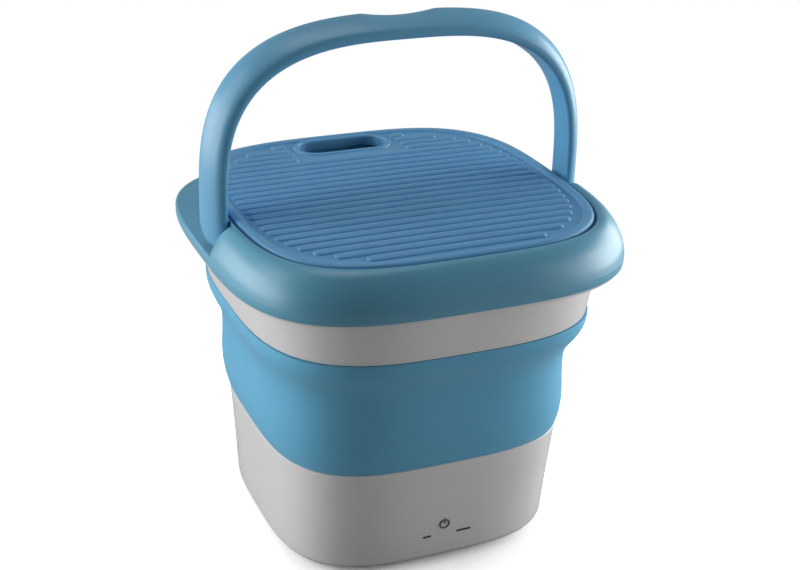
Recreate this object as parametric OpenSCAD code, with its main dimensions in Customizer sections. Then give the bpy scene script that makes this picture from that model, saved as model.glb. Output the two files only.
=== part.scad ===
// Portable mini washer: a motor base, a folding rubber wall, a rim with a swing-back
// carrying handle, and a washboard lid. +Z is up, the front panel faces -Y, and the
// origin is on the floor at the centre of the machine.

/* [Base] */
// Half-width of the base near the floor
base_half_w = 103; // [101:1:106]
// Half-depth of the base near the floor
base_half_d = 104; // [102:1:107]
// Height of the seam between the base and the rubber wall
seam_z = 86; // [84:1:88]
// Half-width of the base at that seam
seam_half_w = 110.4; // [109:0.2:112]
// Half-depth of the base at that seam
seam_half_d = 111.6; // [110:0.1:113]
// Height of the feet
foot_h = 3; // [3:0.5:4]
// Wall thickness of the moulded shells
wall = 2.6; // [2.2:0.1:2.8]

/* [Rim and collar] */
// Height of the collar's lower edge when the wall is unfolded
collar_z = 179; // [177:1:181]
// Half-width of the collar at its lower edge
collar_half_w = 125.4; // [125:0.2:126]
// Half-depth of the collar at its lower edge
collar_half_d = 129.4; // [129:0.2:131]
// Height of the ledge that the folded handle lies on
ledge_z = 226; // [225:1:227]
// Extra half-depth of the rim, its lid and its handle over their half-width
rim_extra_d = 2; // [1:0.5:3]

/* [Handle] */
// Height of the hinge axis above the ledge
hinge_above_ledge = 2.6; // [2.6:0.1:3]
// Forward lean of the handle against its stop
handle_lean = 0; // [0:1:4]
// Reach of the handle's outer edge from the hinge axis
handle_reach = 150.2; // [149:0.2:152]
// Radius of the hinge pins
hinge_pin_r = 2; // [1.5:0.1:2.2]

/* [Lid] */
// Half-width of the lid
lid_half_w = 124; // [123:0.5:124.5]
// Number of washboard ribs
rib_count = 24; // [16:1:26]
// Height of a washboard rib
rib_h = 2.6; // [1.5:0.1:3]
// Length of the finger slot
slot_l = 70; // [64:1:72]
// Width of the finger slot
slot_w = 27; // [24:1:30]

/* [Drive] */
// Gear module
gear_module = 0.8; // [0.7:0.05:0.85]
// Teeth on the motor pinion
pinion_teeth = 20; // [18:1:22]
// Teeth on the drive gear
drive_teeth = 60; // [56:1:62]
// Radius of the pulsator shaft
shaft_r = 4; // [3.5:0.1:4.2]
// Radius of the pulsator
pulsator_r = 58; // [50:1:62]
// Number of pulsator vanes
vane_count = 4; // [3:1:6]

/* [Hidden] */

fn_round = 48;
corner_n = 3.5;
ring_points = 64;
gap = 0.3;
slip = 0.05;

shell_white = [0.92, 0.92, 0.91];
rim_blue = [0.36, 0.62, 0.74];
lid_blue = [0.27, 0.47, 0.61];
wall_blue = [0.42, 0.69, 0.84];
steel = [0.72, 0.73, 0.75];
black = [0.12, 0.12, 0.13];
grey = [0.45, 0.46, 0.48];

// Heights inside the base
floor_z = 60;
floor_t = 3;
floor_top = floor_z + floor_t;
gear_z = 50;
gear_h = 6;
plate_z = 43;
plate_t = 3;
motor_z = 10;
motor_r = 24;
plate_gap = 0.2;
bottom_t = 2.6;
bottom_top = foot_h + bottom_t;

// Places inside the base
gear_backlash = 0.16;
pinion_r = gear_module * pinion_teeth / 2;
drive_r = gear_module * drive_teeth / 2;
centre_gap = 0.1;
motor_x = -(pinion_r + drive_r + centre_gap);
post_xy = [[78, 40], [-78, 40], [78, -40], [-78, -40]];
foot_xy = [[63, 64], [-63, 64], [63, -64], [-63, -64]];
hanger_xy = [[36, 0], [-14, 34], [-14, -34]];
motor_screw_y = 16;
drain_x = -45;
drain_y = 88;
drain_z = 28;
spout_r = 9;
spout_tip_r = 8.5;
spout_step = 108;
spout_bore_r = 6.5;
spout_end = 117.6;
jack_x = 55;
jack_z = 24;
uv_xy = [74, 74];
board_y = -95;

// Front panel, a wall that leans outwards as it rises
panel_z = 33;
panel_lean = 5.2;
panel_y = -106.6;

// Rim, lid and handle
seat_z = ledge_z + 14;
lid_half_d = lid_half_w + rim_extra_d;
slot_y = 100;
slot_rim = 3;
rib_pitch = 9.7;
hinge_z = ledge_z + hinge_above_ledge;
arch_n = 3.2;
arch_start = 24;
arch_steps = 44;
leg_round = 19.5;
ear_r = 5;
ear_x = 127.8;
ear_t = 4;
stop_v = 20.6;
jump = 0.3;
rear_steps = 40;
front_steps = 28;
rim_screw_angles = [200, 235, 270, 305, 340];

function signed_pow(c, p) = sign(c) * pow(abs(c), p);

// One point of a rounded square, at parameter angle t
function rounded(a, b, t, n = corner_n) = [a * signed_pow(cos(t), 2 / n), b * signed_pow(sin(t), 2 / n)];

// The whole outline of a rounded square
function outline(a, b, count = ring_points) = [for (i = [0 : count - 1]) rounded(a, b, 360 * i / count)];

// The half-width of a rounded square at depth y
function half_width_at(a, b, y) = a * pow(1 - pow(abs(y) / b, corner_n), 1 / corner_n);

// The parameter angle at which a rounded square reaches depth y
function angle_at(b, y) = asin(pow(abs(y) / b, corner_n / 2));

// Faces that join rows of points, each row a closed ring, into one closed tube
function tube_faces(rows, count) = [for (j = [0 : rows - 1]) for (i = [0 : count - 1])
    let (k = (j + 1) % rows, m = (i + 1) % count)
    [j * count + i, j * count + m, k * count + m, k * count + i]];

// A hollow ring from rows of [half-width, half-depth, height], up the inside and down the outside
module ring_loft(rows) {
    polyhedron(
        points = [for (r = rows) for (p = outline(r[0], r[1])) [p[0], p[1], r[2]]],
        faces = tube_faces(len(rows), ring_points));
}

module plate(a, b, z, t) {
    translate([0, 0, z]) linear_extrude(t) polygon(outline(a, b));
}

module rod(r, z0, z1, at = [0, 0]) {
    translate([at[0], at[1], z0]) cylinder(r = r, h = z1 - z0, $fn = fn_round);
}

module ring(r_out, r_in, z0, z1, at = [0, 0]) {
    difference() {
        rod(r_out, z0, z1, at);
        rod(r_in, z0 - 1, z1 + 1, at);
    }
}

// A round bar along Y
module rod_y(r, y0, y1, x, z) {
    translate([x, y0, z]) rotate([-90, 0, 0]) cylinder(r = r, h = y1 - y0, $fn = fn_round);
}

// A round bar along X
module rod_x(r, x0, x1, y, z) {
    translate([x0, y, z]) rotate([0, 90, 0]) cylinder(r = r, h = x1 - x0, $fn = fn_round);
}

// A wire of straight runs with round joints
module wire(points, r) {
    for (i = [0 : len(points) - 2]) {
        d = points[i + 1] - points[i];
        translate(points[i]) rotate([0, acos(d[2] / norm(d)), atan2(d[1], d[0])])
            cylinder(r = r, h = norm(d), $fn = 16);
        translate(points[i + 1]) sphere(r = r * 1.08, $fn = 16);
    }
}

// A screw that points up, with its head's top face at height z
module screw_up(head_r, head_h, shank_r, shank_l, z) {
    translate([0, 0, z - head_h]) cylinder(r = head_r, h = head_h, $fn = fn_round);
    translate([0, 0, z - 0.01]) cylinder(r = shank_r, h = shank_l, $fn = fn_round);
}

// Involute gear outline
pressure = 20;
function involute(t) = tan(t) * 180 / PI - t;
function flank_angle(r, rb, half) = half + involute(pressure) - (r > rb ? involute(acos(rb / r)) : 0);
function tooth_points(teeth, i) =
    let (rp = gear_module * teeth / 2,
        rb = rp * cos(pressure),
        r_root = rp - 1.25 * gear_module,
        r_tip = rp + gear_module,
        half = 90 / teeth - gear_backlash / rp * 90 / PI,
        r_list = [for (k = [0 : 5]) max(r_root, rb) + (r_tip - max(r_root, rb)) * k / 5],
        up = concat([[r_root, -flank_angle(rb, rb, half)]],
            [for (r = r_list) [r, -flank_angle(r, rb, half)]]),
        down = [for (k = [len(up) - 1 : -1 : 0]) [up[k][0], -up[k][1]]])
    [for (p = concat(up, down)) p[0] * [cos(p[1] + i * 360 / teeth), sin(p[1] + i * 360 / teeth)]];
module gear(teeth, h) {
    linear_extrude(h) polygon([for (i = [0 : teeth - 1]) each tooth_points(teeth, i)]);
}

// ---- Base ----

module base_shell() {
    lip_w = base_half_w - 13;
    lip_d = base_half_d - 13;
    color(shell_white) difference() {
        ring_loft([
            [lip_w - 4, lip_d - 4, bottom_top + plate_gap],
            [lip_w - 4, lip_d - 4, bottom_top + wall],
            [lip_w + 5, lip_d + 5, bottom_top + wall],
            [base_half_w - 2.6, base_half_d - 3.8, 13],
            [seam_half_w - wall, seam_half_d - wall, seam_z - 8],
            [seam_half_w - wall, seam_half_d - wall, seam_z],
            [seam_half_w, seam_half_d, seam_z],
            [base_half_w + 6.2, base_half_d + 6.3, 72],
            [base_half_w + 4, base_half_d + 3.2, 40],
            [base_half_w + 2.2, base_half_d + 1, 16],
            [base_half_w + 0.4, base_half_d - 0.5, 9.5],
            [base_half_w - 3.4, base_half_d - 3.4, 5.4],
            [base_half_w - 7.2, base_half_d - 7.2, 3.6],
            [base_half_w - 10.5, base_half_d - 10.5, foot_h],
            [lip_w, lip_d, foot_h],
            [lip_w, lip_d, bottom_top + plate_gap]]);
        rod_y(spout_r + gap, 90, 130, drain_x, drain_z);
        rod_y(4.15, 90, 130, jack_x, jack_z);
    }
}

module bottom_plate() {
    color(shell_white) difference() {
        plate(base_half_w - 13.4, base_half_d - 13.4, foot_h, bottom_t);
        for (p = foot_xy) rod(4, 0, 20, p);
        for (p = post_xy) rod(1.7, 0, 20, p);
    }
}

module rubber_feet() {
    color(black) for (p = foot_xy) {
        rod(9, 0, foot_h - 0.02, p);
        rod(3.9, foot_h - 0.5, bottom_top + 1, p);
    }
}

module bottom_screws() {
    color(steel) for (p = post_xy) {
        translate([p[0], p[1], 0]) screw_up(3.2, 1.8, 1.25, 12, foot_h - 0.02);
    }
}

module tub_floor() {
    floor_a = seam_half_w - 6.6;
    floor_b = seam_half_d - 7.4;
    slot_t = 1.9;
    color(shell_white) difference() {
        union() {
            plate(floor_a, floor_b, floor_z, floor_t);
            difference() {
                plate(floor_a, floor_b, floor_top - 0.5, 15.5);
                plate(floor_a - 2.4, floor_b - 2.4, floor_top - 1, 20);
            }
            ring(pulsator_r + 6, pulsator_r + 3.4, floor_top - 0.5, floor_top + 3);
            rod(13, floor_z - 3, floor_z + 0.5);
            for (p = post_xy) rod(4.5, bottom_top + 0.1, floor_z + 0.5, p);
            for (p = hanger_xy) rod(4, plate_z + plate_t + 0.02, floor_z + 0.5, p);
            for (side = [-1, 1]) translate([side * 36 - 2.5, board_y - 3, 16]) cube([5, 6, 44.5]);
        }
        translate([-36, board_y - slot_t / 2, 0]) cube([72, slot_t, 46.2]);
        rod(9.02, floor_z - 5, floor_top + 5);
        rod(spout_bore_r, floor_z - 5, floor_top + 5, [drain_x, drain_y]);
        rod(7.02, floor_z - 5, floor_top + 5, uv_xy);
        for (p = post_xy) rod(1.3, 0, bottom_top + 14, p);
        for (p = hanger_xy) rod(1.3, 0, plate_z + 11, p);
    }
}

// Power symbol on the leaning front panel: an open circle and a bar
module power_mark() {
    color(black) translate([0, panel_y, panel_z]) rotate([90 + panel_lean, 0, 0]) linear_extrude(0.35) {
        difference() {
            circle(r = 4, $fn = fn_round);
            circle(r = 3, $fn = fn_round);
            translate([-1.5, 0]) square([3, 6]);
        }
        translate([-0.5, 0.6]) square([1, 4.2]);
    }
}

// Two plain bars that mark the indicator lights
module indicator_marks() {
    color(black) translate([0, panel_y, panel_z]) rotate([90 + panel_lean, 0, 0]) linear_extrude(0.35) {
        translate([-16, -9.3]) square([6, 1.4]);
        translate([10, -9.3]) square([11, 1.4]);
    }
}

module control_board() {
    color([0.10, 0.35, 0.20]) translate([-35.5, board_y - 0.8, 12]) cube([71, 1.6, 34]);
    color(black) translate([-20, board_y + 0.75, 24]) cube([14, 2, 14]);
    color(grey) translate([8, board_y + 0.75, 20]) cube([16, 9, 12]);
}

module touch_sensor() {
    color([0.10, 0.35, 0.20]) translate([0, -102.4, panel_z]) rotate([7.6, 0, 0])
        translate([-11, 0, -7]) cube([22, 1, 14]);
    color(grey) rod_y(1, -101.7, board_y - 0.82, 0, panel_z);
}

module indicator_leds() {
    color([0.85, 0.95, 1]) for (x = [-13, 15]) rod_y(1.5, -100, board_y - 0.82, x, 22);
}

module uv_lens() {
    color([0.8, 0.85, 1]) {
        rod(7, floor_z, floor_top + 1, uv_xy);
        rod(8.6, floor_top + 0.02, floor_top + 1.6, uv_xy);
    }
}

module uv_board() {
    color([0.10, 0.35, 0.20]) rod(8, floor_z - 3, floor_z - 1.4, uv_xy);
    color([0.7, 0.6, 1]) rod(2.5, floor_z - 1.4, floor_z - 0.1, uv_xy);
}

module dc_jack() {
    front_y = 102.4;
    color(black) difference() {
        union() {
            rod_y(4, 87.6, front_y, jack_x, jack_z);
            rod_y(6, 92.4, 95.4, jack_x, jack_z);
        }
        rod_y(2.75, front_y - 9, front_y + 1, jack_x, jack_z);
    }
    color(steel) rod_y(1, front_y - 9.1, front_y - 1.5, jack_x, jack_z);
}

// Leads from the inlet to the board, and from the board to the motor and the lamp
module wire_harness() {
    color([0.75, 0.12, 0.12]) {
        wire([[jack_x, 86.7, jack_z], [jack_x, 74, 12], [66, 0, 12], [20, -74, 12], [16, -83.8, 24]], 1.2);
        wire([[-14, -91.1, 30], [-20, -78, 12], [-30, -40, 8.4], [-32, 0, 8.5]], 1.2);
    }
    color([0.9, 0.9, 0.9]) {
        wire([[24, board_y + 1.7, 42], [62, -60, 52], [62, 40, 52], [74, 70, 52], [74, 72, 55.9]], 0.9);
    }
}

module gearbox_plate() {
    color(grey) difference() {
        translate([0, 0, plate_z]) linear_extrude(plate_t) polygon([[-62, -22], [-14, -42], [8, -40],
            [46, -10], [46, 10], [8, 40], [-14, 42], [-62, 22]]);
        rod(7.02, 0, 90);
        rod(8, 0, 90, [motor_x, 0]);
        for (p = hanger_xy) rod(1.7, 0, 90, p);
        for (s = [-1, 1]) rod(1.7, 0, 90, [motor_x, s * motor_screw_y]);
    }
}

module gearbox_screws() {
    color(steel) for (p = hanger_xy) {
        translate([p[0], p[1], 0]) screw_up(3, 1.8, 1.25, 9, plate_z - 0.02);
    }
}

module motor_can() {
    color(steel) difference() {
        union() {
            rod(motor_r, motor_z, plate_z - 0.02, [motor_x, 0]);
            rod(7.8, plate_z - 1, plate_z + plate_t - 0.4, [motor_x, 0]);
        }
        rod(1.64, motor_z + 4, plate_z + 10, [motor_x, 0]);
        for (s = [-1, 1]) rod(1.3, plate_z - 8, plate_z + 1, [motor_x, s * motor_screw_y]);
    }
}

module motor_screws() {
    color(steel) for (s = [-1, 1]) translate([motor_x, s * motor_screw_y, plate_z + plate_t + 0.02]) {
        cylinder(r = 2.8, h = 1.7, $fn = fn_round);
        translate([0, 0, -8]) cylinder(r = 1.25, h = 8.1, $fn = fn_round);
    }
}

module lower_bush() {
    color([0.72, 0.55, 0.30]) ring(7, shaft_r + slip, plate_z - 1, plate_z + plate_t + 1);
}

module upper_bush() {
    color([0.72, 0.55, 0.30]) ring(9, shaft_r + slip, floor_z - 3, floor_z + 1);
}

module shaft_seal() {
    color(black) ring(9, shaft_r + slip, floor_z + 1.02, floor_top + 0.4);
}

// Drain elbow: down from the tub floor, then out through the back wall
module drain_pipe() {
    top = floor_z - 0.02;
    color(shell_white) difference() {
        union() {
            rod(spout_r, drain_z, top, [drain_x, drain_y]);
            rod(12, top - 2.5, top, [drain_x, drain_y]);
            translate([drain_x, drain_y, drain_z]) sphere(r = spout_r, $fn = fn_round);
            rod_y(spout_r, drain_y, spout_step, drain_x, drain_z);
            rod_y(spout_tip_r, drain_y, spout_end, drain_x, drain_z);
        }
        rod(spout_bore_r, drain_z, top + 1, [drain_x, drain_y]);
        translate([drain_x, drain_y, drain_z]) sphere(r = spout_bore_r, $fn = fn_round);
        rod_y(spout_bore_r, drain_y, spout_end + 1, drain_x, drain_z);
    }
}

module drain_gasket() {
    color(black) difference() {
        rod_y(12, spout_step - 1.8, spout_step, drain_x, drain_z);
        rod_y(spout_r + 0.02, spout_step - 5, spout_step + 5, drain_x, drain_z);
    }
}

// Push-in plug with a pull tab
module drain_plug() {
    color(rim_blue) {
        rod_y(spout_bore_r - 0.08, spout_end - 10, spout_end + 0.5, drain_x, drain_z);
        rod_y(8.2, spout_end + 0.1, spout_end + 2.6, drain_x, drain_z);
        difference() {
            translate([drain_x - 1.2, spout_end + 2.4, drain_z - 5]) cube([2.4, 9, 10]);
            rod_x(2.6, drain_x - 3, drain_x + 3, spout_end + 6.6, drain_z);
        }
    }
}

// ---- Drive ----

module motor_shaft() {
    color(steel) rod(1.58, motor_z + 5, gear_z + gear_h + 1, [motor_x, 0]);
}

module motor_pinion() {
    color([0.9, 0.88, 0.8]) translate([motor_x, 0, gear_z]) difference() {
        gear(pinion_teeth, gear_h);
        translate([0, 0, -1]) cylinder(r = 1.6, h = gear_h + 2, $fn = fn_round);
    }
}

// Meshes with the pinion, so it is turned by half a tooth where its own teeth would meet it
module drive_gear() {
    turn = drive_teeth % 2 == 0 ? 180 / drive_teeth : 0;
    color([0.9, 0.88, 0.8]) translate([0, 0, gear_z]) difference() {
        rotate([0, 0, turn]) gear(drive_teeth, gear_h);
        translate([0, 0, -1]) cylinder(r = shaft_r + 0.02, h = gear_h + 2, $fn = fn_round);
        for (i = [0 : 5]) rotate([0, 0, 60 * i]) translate([drive_r * 0.58, 0, -1])
            cylinder(r = drive_r * 0.17, h = gear_h + 2, $fn = fn_round);
    }
}

module pulsator_shaft() {
    color(steel) rod(shaft_r, plate_z - 0.6, floor_top + 15);
}

// One vane: a curved bar from the hub to near the edge of the disc
module vane() {
    steps = 6;
    inner = 10;
    outer = pulsator_r - 5;
    sweep = 34;
    function spine(k) = let (r = inner + (outer - inner) * k / steps, t = sweep * k / steps) [r, t];
    side_a = [for (k = [0 : steps]) let (s = spine(k)) s[0] * [cos(s[1] - 4), sin(s[1] - 4)]];
    side_b = [for (k = [steps : -1 : 0]) let (s = spine(k)) s[0] * [cos(s[1] + 4), sin(s[1] + 4)]];
    linear_extrude(9) polygon(concat(side_a, side_b));
}

module pulsator() {
    disc_z = floor_top + 2;
    color([0.93, 0.93, 0.94]) difference() {
        union() {
            rod(pulsator_r, disc_z, disc_z + 3);
            rod(13, disc_z + 2.5, disc_z + 14);
            for (i = [0 : vane_count - 1]) rotate([0, 0, 360 / vane_count * i])
                translate([0, 0, disc_z + 2.5]) vane();
        }
        rod(shaft_r + 0.02, 0, 200);
    }
}

module pulsator_cap() {
    color(wall_blue) rod(9, floor_top + 16.02, floor_top + 19);
}

// ---- Folding wall and collar ----

// Soft wall with a step below the collar, a tongue into the collar and one into the base
module folding_wall() {
    top = collar_z - 0.3;
    w = collar_half_w;
    d = collar_half_d;
    sw = seam_half_w;
    sd = seam_half_d;
    tongue = 7;
    skin = 2.4;
    color(wall_blue) ring_loft([
        [sw - wall - skin, sd - wall - skin, seam_z - tongue],
        [sw - wall - skin, sd - wall - skin, seam_z + gap],
        [sw + 3.6 - skin, sd + 3.6 - skin, 102],
        [sw + 4.4 - skin, sd + 5 - skin, 146],
        [sw + 6 - skin, sd + 7.6 - skin, 158.6],
        [sw + 9.6 - skin, sd + 12 - skin, 165],
        [w - 1.6 - skin, d - 1.6 - skin, 171],
        [w - 5.2, d - 5.2, 176],
        [w - 5.2, d - 5.2, top + tongue],
        [w - 2.9, d - 2.9, top + tongue],
        [w - 2.9, d - 2.9, top],
        [w + 0.4, d + 0.4, top],
        [w + 0.5, d + 0.5, 173.5],
        [w - 1, d - 0.8, 169.4],
        [sw + 10, sd + 12.4, 164],
        [sw + 6.2, sd + 8, 157],
        [sw + 4.8, sd + 5.6, 147],
        [sw + 4.2, sd + 4.4, 110],
        [sw + 3.2, sd + 3.2, 97],
        [sw + 0.2, sd + 0.2, seam_z + gap],
        [sw - wall - gap, sd - wall - gap, seam_z + gap],
        [sw - wall - gap, sd - wall - gap, seam_z - tongue]]);
}

// White collar with a flange that the rim is screwed to and a lip that shows below the rim
module collar_ring() {
    w = collar_half_w;
    d = collar_half_d;
    flange = ledge_z - 3.02;
    lip = skirt_z - 2.2;
    out = w + 15.2;
    channel = w + 13;
    color(shell_white) difference() {
        ring_loft([
            [w - wall, d - wall, collar_z],
            [w + 1.6, d + 0.9, lip],
            [w + 1.6, d + 0.9, flange],
            [out, out + rim_extra_d, flange],
            [out, out + rim_extra_d, lip],
            [channel, channel + rim_extra_d, lip],
            [channel, channel + rim_extra_d, flange - 1.8],
            [w + 4.2, d + 3.1, flange - 1.8],
            [w + 4.2, d + 3.1, lip],
            [w, d, collar_z + 1],
            [w - 0.8, d - 0.8, collar_z]]);
        rim_screw_places() translate([0, 0, 200]) cylinder(r = 1.6, h = 60, $fn = fn_round);
    }
}

module rim_screw_places() {
    for (t = rim_screw_angles) {
        p = rounded(134.2, 134.2 + rim_extra_d, t);
        translate([p[0], p[1], 0]) children();
    }
}

// ---- Rim ----

// Depth of the shoulder's end wall, which leans with the handle that rests on it
function stop_y(z) = -stop_v / cos(handle_lean) - tan(handle_lean) * (z - hinge_z);

// Rim rows: [front half-width, front height, rear half-width, rear height, set-in of the end wall]
lip_z = ledge_z + 21;
under_z = ledge_z - 3;
skirt_z = ledge_z - 9;
tube_z = 214.8;
rim_inside = [
    [122.9, tube_z, 122.9, tube_z, 0],
    [122.9, seat_z - 6.5, 122.9, seat_z - 6.5, 0],
    [119.5, seat_z - 3, 119.5, seat_z - 3, 0],
    [119.5, seat_z, 119.5, seat_z, 0],
    [125.6, seat_z, 125.6, seat_z, 0],
    [125.6, lip_z, 125.6, lip_z, 0],
    [126.3, lip_z + 0.8, 126.4, lip_z + 0.8, 0]];
rim_outside = [
    [127.2, lip_z + 1.3, 127.2, lip_z, 0],
    [128.8, lip_z + 1.8, 127.2, ledge_z, 0],
    [131.3, lip_z + 1.4, 130.5, ledge_z, 0],
    [134.6, lip_z - 0.6, 134, ledge_z, 0],
    [138.2, lip_z - 4.2, 137.5, ledge_z, 0],
    [141.7, lip_z - 9.6, 140.5, ledge_z, 0],
    [144, lip_z - 15.4, 142.6, ledge_z, 0],
    [145.2, lip_z - 20.6, 144.2, ledge_z, 0],
    [145.3, lip_z - 23.4, 144.9, ledge_z - 0.7, 0],
    [144.9, skirt_z + 2.4, 144.8, skirt_z + 2.4, 0],
    [143.6, skirt_z, 143.6, skirt_z, 0]];
rim_under = [
    [141.5, skirt_z, 141.5, skirt_z, wall],
    [142.8, lip_z - 22, 141.5, under_z, wall],
    [141.7, lip_z - 16.4, 140.6, under_z, wall],
    [139.4, lip_z - 10.8, 138.6, under_z, wall],
    [136.1, lip_z - 6.2, 135.4, under_z, wall],
    [132.9, lip_z - 3, 132.2, under_z, wall],
    [129.9, lip_z - 1.4, 129.4, under_z, wall],
    [127.4, lip_z - 3, 128, under_z, wall],
    [127.2, under_z, 126.8, under_z, wall],
    [125.5, under_z, 125.5, under_z, 0],
    [125.5, tube_z, 125.5, tube_z, 0]];
rim_rows = concat(rim_inside, rim_outside, rim_under);
rim_stations = rear_steps + front_steps + 2;

// One row of the rim: round the back at the ledge's height, then round the front
function rim_row(r) =
    let (yr = stop_y(r[1]) - r[4] + jump,
        yf = stop_y(r[1]) - r[4],
        tr = angle_at(r[2] + rim_extra_d, yr),
        tf = angle_at(r[0] + rim_extra_d, yf),
        rear = [for (i = [0 : rear_steps]) concat(rounded(r[2], r[2] + rim_extra_d,
            -tr + i * (180 + 2 * tr) / rear_steps), r[3])],
        front = [for (i = [0 : front_steps]) concat(rounded(r[0], r[0] + rim_extra_d,
            180 + tf + i * (180 - 2 * tf) / front_steps), r[1])])
    concat(rear, front);

module rim_frame() {
    block = [6.7, 16, 13];
    color(rim_blue) difference() {
        union() {
            polyhedron(points = [for (r = rim_rows) each rim_row(r)],
                faces = tube_faces(len(rim_rows), rim_stations));
            for (side = [-1, 1]) {
                translate([side * 123.85 - block[0] / 2, -block[1] / 2, ledge_z - 2.9]) cube(block);
            }
            rim_screw_places() translate([0, 0, under_z]) cylinder(r = 4, h = 18.4, $fn = fn_round);
        }
        for (side = [-1, 1]) {
            rod_x(hinge_pin_r + 0.02, side * 124.1 - 3.1, side * 124.1 + 3.1, 0, hinge_z);
            translate([side * 129.8 - 2.6, -6.4, under_z - 1]) cube([5.2, 12.8, 6]);
        }
        rim_screw_places() translate([0, 0, under_z - 1]) cylinder(r = 1.25, h = 12, $fn = fn_round);
    }
}

module rim_screws() {
    color(steel) rim_screw_places() screw_up(2.8, 1.8, 1.2, 10, ledge_z - 4.86);
}

module hinge_pins() {
    color(steel) for (side = [-1, 1]) {
        rod_x(hinge_pin_r, side * 126.35 - 5.25, side * 126.35 + 5.25, 0, hinge_z);
    }
}

// ---- Handle ----

// Points round the handle's section: [depth forward of the hinge, half-width, reach]
section_points = [
    [-2.5, 143.9, handle_reach - 1.6],
    [-1.2, 145.3, handle_reach],
    [4, 145, handle_reach - 0.5],
    [9, 143.2, handle_reach - 2.1],
    [14, 140.1, handle_reach - 4.3],
    [18.4, 136.3, handle_reach - 6.9],
    [20, 133.9, handle_reach - 8.8],
    [20, 131.7, handle_reach - 12.8],
    [19, 130.8, handle_reach - 14.6],
    [9, 129.8, handle_reach - 15.5],
    [-1.5, 129, handle_reach - 16],
    [-2.5, 130, handle_reach - 15]];

// Triangles that close the section at the foot of a leg
foot_faces = [[0, 1, 11], [1, 10, 11], [1, 2, 10], [2, 9, 10], [2, 3, 9], [3, 4, 9], [4, 8, 9],
    [4, 5, 8], [5, 7, 8], [5, 6, 7]];

// Lower end of the leg, rounded at the back
function leg_foot(v) = v > 17 ? 1 : leg_round + 1 - sqrt(leg_round * leg_round - pow(17 - v, 2));

// One point of the arch in [x, v, u], from the left foot (0) to the right foot (1)
function arch_point(p, k) =
    k == 0 ? [-p[1], p[0], leg_foot(p[0])] :
    k == arch_steps + 2 ? [p[1], p[0], leg_foot(p[0])] :
    let (t = 180 * (k - 1) / arch_steps)
    [-p[1] * signed_pow(cos(t), 2 / arch_n), p[0], arch_start + (p[2] - arch_start) * pow(sin(t), 2 / arch_n)];

// From [x, forward, up along the handle] to the leaning position on the hinge
function lean_point(q) = [q[0],
    -q[1] * cos(handle_lean) - q[2] * sin(handle_lean),
    hinge_z - q[1] * sin(handle_lean) + q[2] * cos(handle_lean)];

module handle() {
    n = len(section_points);
    last = arch_steps + 2;
    color(rim_blue) difference() {
        union() {
            polyhedron(
                points = [for (k = [0 : last]) for (p = section_points) lean_point(arch_point(p, k))],
                faces = concat(
                    [for (k = [0 : last - 1]) for (j = [0 : n - 1])
                        [k * n + j, (k + 1) * n + j, (k + 1) * n + (j + 1) % n, k * n + (j + 1) % n]],
                    [for (f = foot_faces) f],
                    [for (f = foot_faces) [last * n + f[2], last * n + f[1], last * n + f[0]]]));
            for (side = [-1, 1]) handle_ear(side);
        }
        for (side = [-1, 1]) {
            rod_x(hinge_pin_r + 0.06, side * 130 - 6, side * 130 + 6, 0, hinge_z);
        }
    }
}

// Hinge ear on the inside of a leg
module handle_ear(side) {
    translate([side * (ear_x + ear_t / 2) - ear_t / 2, 0, hinge_z]) rotate([handle_lean, 0, 0])
        rotate([90, 0, 90]) linear_extrude(ear_t) {
            circle(r = ear_r, $fn = fn_round);
            polygon([[4.9, 1], [-2, 14], [-18, 22], [-18, 4], [-4.9, -1]]);
        }
}

// ---- Lid ----

module slot_shape(grow) {
    r = slot_w / 2 + grow;
    for (side = [-1, 1]) translate([side * (slot_l - slot_w) / 2, slot_y]) circle(r = r, $fn = fn_round);
    translate([-(slot_l - slot_w) / 2, slot_y - r]) square([slot_l - slot_w, 2 * r]);
}

// Half of a round bar along X, lying on the lid
module rib(x0, x1, y, z) {
    steps = 6;
    translate([x0, y, z]) rotate([90, 0, 90]) linear_extrude(x1 - x0)
        polygon([for (i = [0 : steps]) rib_h * [cos(180 * i / steps), sin(180 * i / steps)]]);
}

module lid() {
    plate_top = seat_z + 7.2;
    edge = 8;
    skirt_w = 117.6;
    color(lid_blue) difference() {
        union() {
            plate(lid_half_w, lid_half_d, seat_z + 0.2, plate_top - seat_z - 0.2);
            difference() {
                plate(lid_half_w - 0.8, lid_half_d - 0.8, plate_top - 0.2, 2.6);
                plate(lid_half_w - 4.4, lid_half_d - 4.4, plate_top - 1, 6);
            }
            difference() {
                plate(skirt_w, skirt_w + rim_extra_d, seat_z - 9, 9.4);
                plate(skirt_w - 2.4, skirt_w - 2.4 + rim_extra_d, seat_z - 12, 20);
            }
            for (i = [0 : rib_count - 1]) {
                y = (i - (rib_count - 1) / 2) * rib_pitch;
                reach = half_width_at(lid_half_w - edge, lid_half_d - edge, y);
                clear = abs(y - slot_y) < slot_w / 2 + 9 ? slot_l / 2 + 9 : 0;
                if (clear > 0) {
                    if (reach > clear + 4) for (side = [-1, 1]) {
                        rib(min(side * clear, side * reach), max(side * clear, side * reach), y, plate_top);
                    }
                } else {
                    rib(-reach, reach, y, plate_top);
                }
            }
            translate([0, 0, plate_top - 0.2]) linear_extrude(1.6) slot_shape(slot_rim);
        }
        translate([0, 0, seat_z - 20]) linear_extrude(60) slot_shape(0);
        difference() {
            plate(skirt_w - 2.4, skirt_w - 2.4 + rim_extra_d, seat_z - 1, 1 + plate_top - seat_z - 3);
            translate([0, 0, seat_z - 5]) linear_extrude(30) slot_shape(slot_rim);
        }
    }
}

module lid_gasket() {
    w = 119.2;
    color([0.85, 0.88, 0.9]) difference() {
        plate(w, w + rim_extra_d, seat_z - 4, 3.8);
        plate(w - 1.55, w - 1.55 + rim_extra_d, seat_z - 10, 20);
    }
}

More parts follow.
